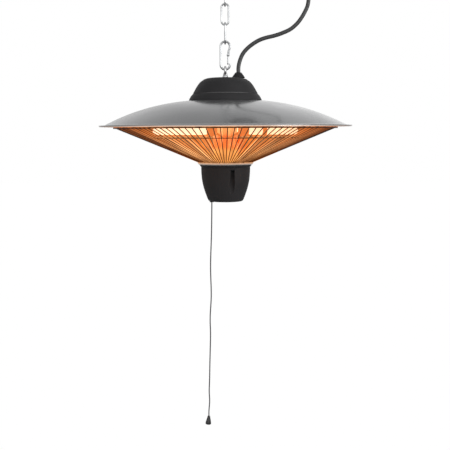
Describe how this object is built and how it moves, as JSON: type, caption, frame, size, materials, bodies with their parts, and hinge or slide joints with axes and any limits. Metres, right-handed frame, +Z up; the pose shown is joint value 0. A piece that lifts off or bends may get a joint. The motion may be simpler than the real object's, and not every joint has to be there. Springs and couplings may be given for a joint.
{
  "type": "hanging patio heater",
  "caption": "Ceiling-hung patio heater: shallow dome shade over a ring-shaped quartz heating tube behind a wire guard, chain, snap hook, mains cord and pull-cord switch.",
  "frame": {"origin": "centre of the ceiling plate's top face, where the part meets the ceiling", "axes": "+Z up, square to the ceiling; +X to the right with the shade's open front towards -Y"},
  "size_m": [0.425, 0.425, 0.8853],
  "materials": {
    "zinc": "bright zinc-plated steel",
    "black_steel": "blackened steel",
    "black_plastic": "charcoal plastic with a soft sheen",
    "white_plastic": "white moulded plastic",
    "shade_paint": "satin grey paint",
    "aluminium": "bright pressed aluminium",
    "guard_steel": "satin steel wire and sheet",
    "chrome": "polished",
    "quartz": "clear quartz",
    "filament": "glowing carbon filament",
    "ceramic": "unglazed ceramic",
    "rubber": "black rubber",
    "cord": "thin black cord"
  },
  "bodies": {
    "ceiling": {"ceiling_plate": "zinc", "ceiling_hook": "zinc"},
    "upper_link": {"top_link": "zinc"},
    "chain": {"chain_link_1": "zinc", "chain_link_2": "zinc", "chain_link_3": "zinc", "chain_link_4": "zinc", "chain_link_5": "zinc", "snap_hook": "zinc", "gate_pin": "zinc", "power_cord_coil": "rubber", "power_cord_tail": "rubber", "cord_tie": "rubber", "plug_body": "rubber", "plug_pin_1": "zinc", "plug_pin_2": "zinc"},
    "snap_gate": {"gate": "zinc"},
    "heater": {"eye_bolt": "zinc", "eye_nut": "zinc", "lock_nut": "zinc", "hanger_bracket": "zinc", "top_cap": "black_plastic", "cord_gland": "black_plastic", "terminal_block": "white_plastic", "shade": "shade_paint", "reflector": "aluminium", "stem_tube": "guard_steel", "stem_foot": "guard_steel", "base_plate": "guard_steel", "collar_ring": "chrome", "lower_housing": "black_plastic", "housing_screw_1": "black_steel", "housing_screw_2": "black_steel", "housing_screw_3": "black_steel", "wire_grille": "guard_steel", "grille_hoop": "guard_steel", "heating_tube": "quartz", "filament": "filament", "ceramic_end_1": "ceramic", "ceramic_end_2": "ceramic", "lead_sleeve_1": "ceramic", "lead_sleeve_2": "ceramic", "element_spider": "guard_steel", "tube_clip_1": "guard_steel", "tube_clip_2": "guard_steel", "tube_clip_3": "guard_steel", "switch_body": "white_plastic", "return_spring": "zinc", "pull_cord_bush": "black_plastic", "power_cord": "rubber"},
    "pull": {"pull_cord": "cord", "cord_ferrule": "zinc", "pull_bead": "black_plastic"},
    "lever": {"switch_lever": "white_plastic"},
    "rotor": {"switch_rotor": "white_plastic"}
  },
  "joints": [
    {"name": "hook_swing", "type": "hinge", "parent": "ceiling", "child": "upper_link", "pos_m": [0, 0, -0.0395], "axis": [0, 1, 0], "range_deg": [-20, 20]},
    {"name": "chain_swing", "type": "hinge", "parent": "upper_link", "child": "chain", "pos_m": [0, 0, -0.06965], "axis": [1, 0, 0], "range_deg": [-20, 20]},
    {"name": "gate_hinge", "type": "hinge", "parent": "chain", "child": "snap_gate", "pos_m": [0.0049, 0, -0.24275], "axis": [0, 1, 0], "range_deg": [0, 25], "stiffness_Nm_per_rad": 0.02, "springref_deg": -17.19},
    {"name": "heater_tilt", "type": "hinge", "parent": "chain", "child": "heater", "pos_m": [0, 0, -0.2669], "axis": [1, 0, 0], "range_deg": [-20, 20], "deforming": ["power_cord"]},
    {"name": "pull_slide", "type": "slide", "parent": "heater", "child": "pull", "axis": [0, 0, -1], "range_m": [0, 0.005], "stiffness_N_per_m": 400, "springref_m": -0.003, "deforming": ["return_spring"]},
    {"name": "lever_hinge", "type": "hinge", "parent": "heater", "child": "lever", "pos_m": [-0.008, 0, -0.44705], "axis": [0, -1, 0], "range_deg": [0, 18.1]},
    {"name": "rotor_hinge", "type": "hinge", "parent": "heater", "child": "rotor", "pos_m": [0.008, 0, -0.43905], "axis": [0, 1, 0], "range_deg": [0, 270]}
  ],
  "couplings": [
    {"joint": "lever_hinge", "follows": "pull_slide", "rad_per_m": 62.893}
  ]
}
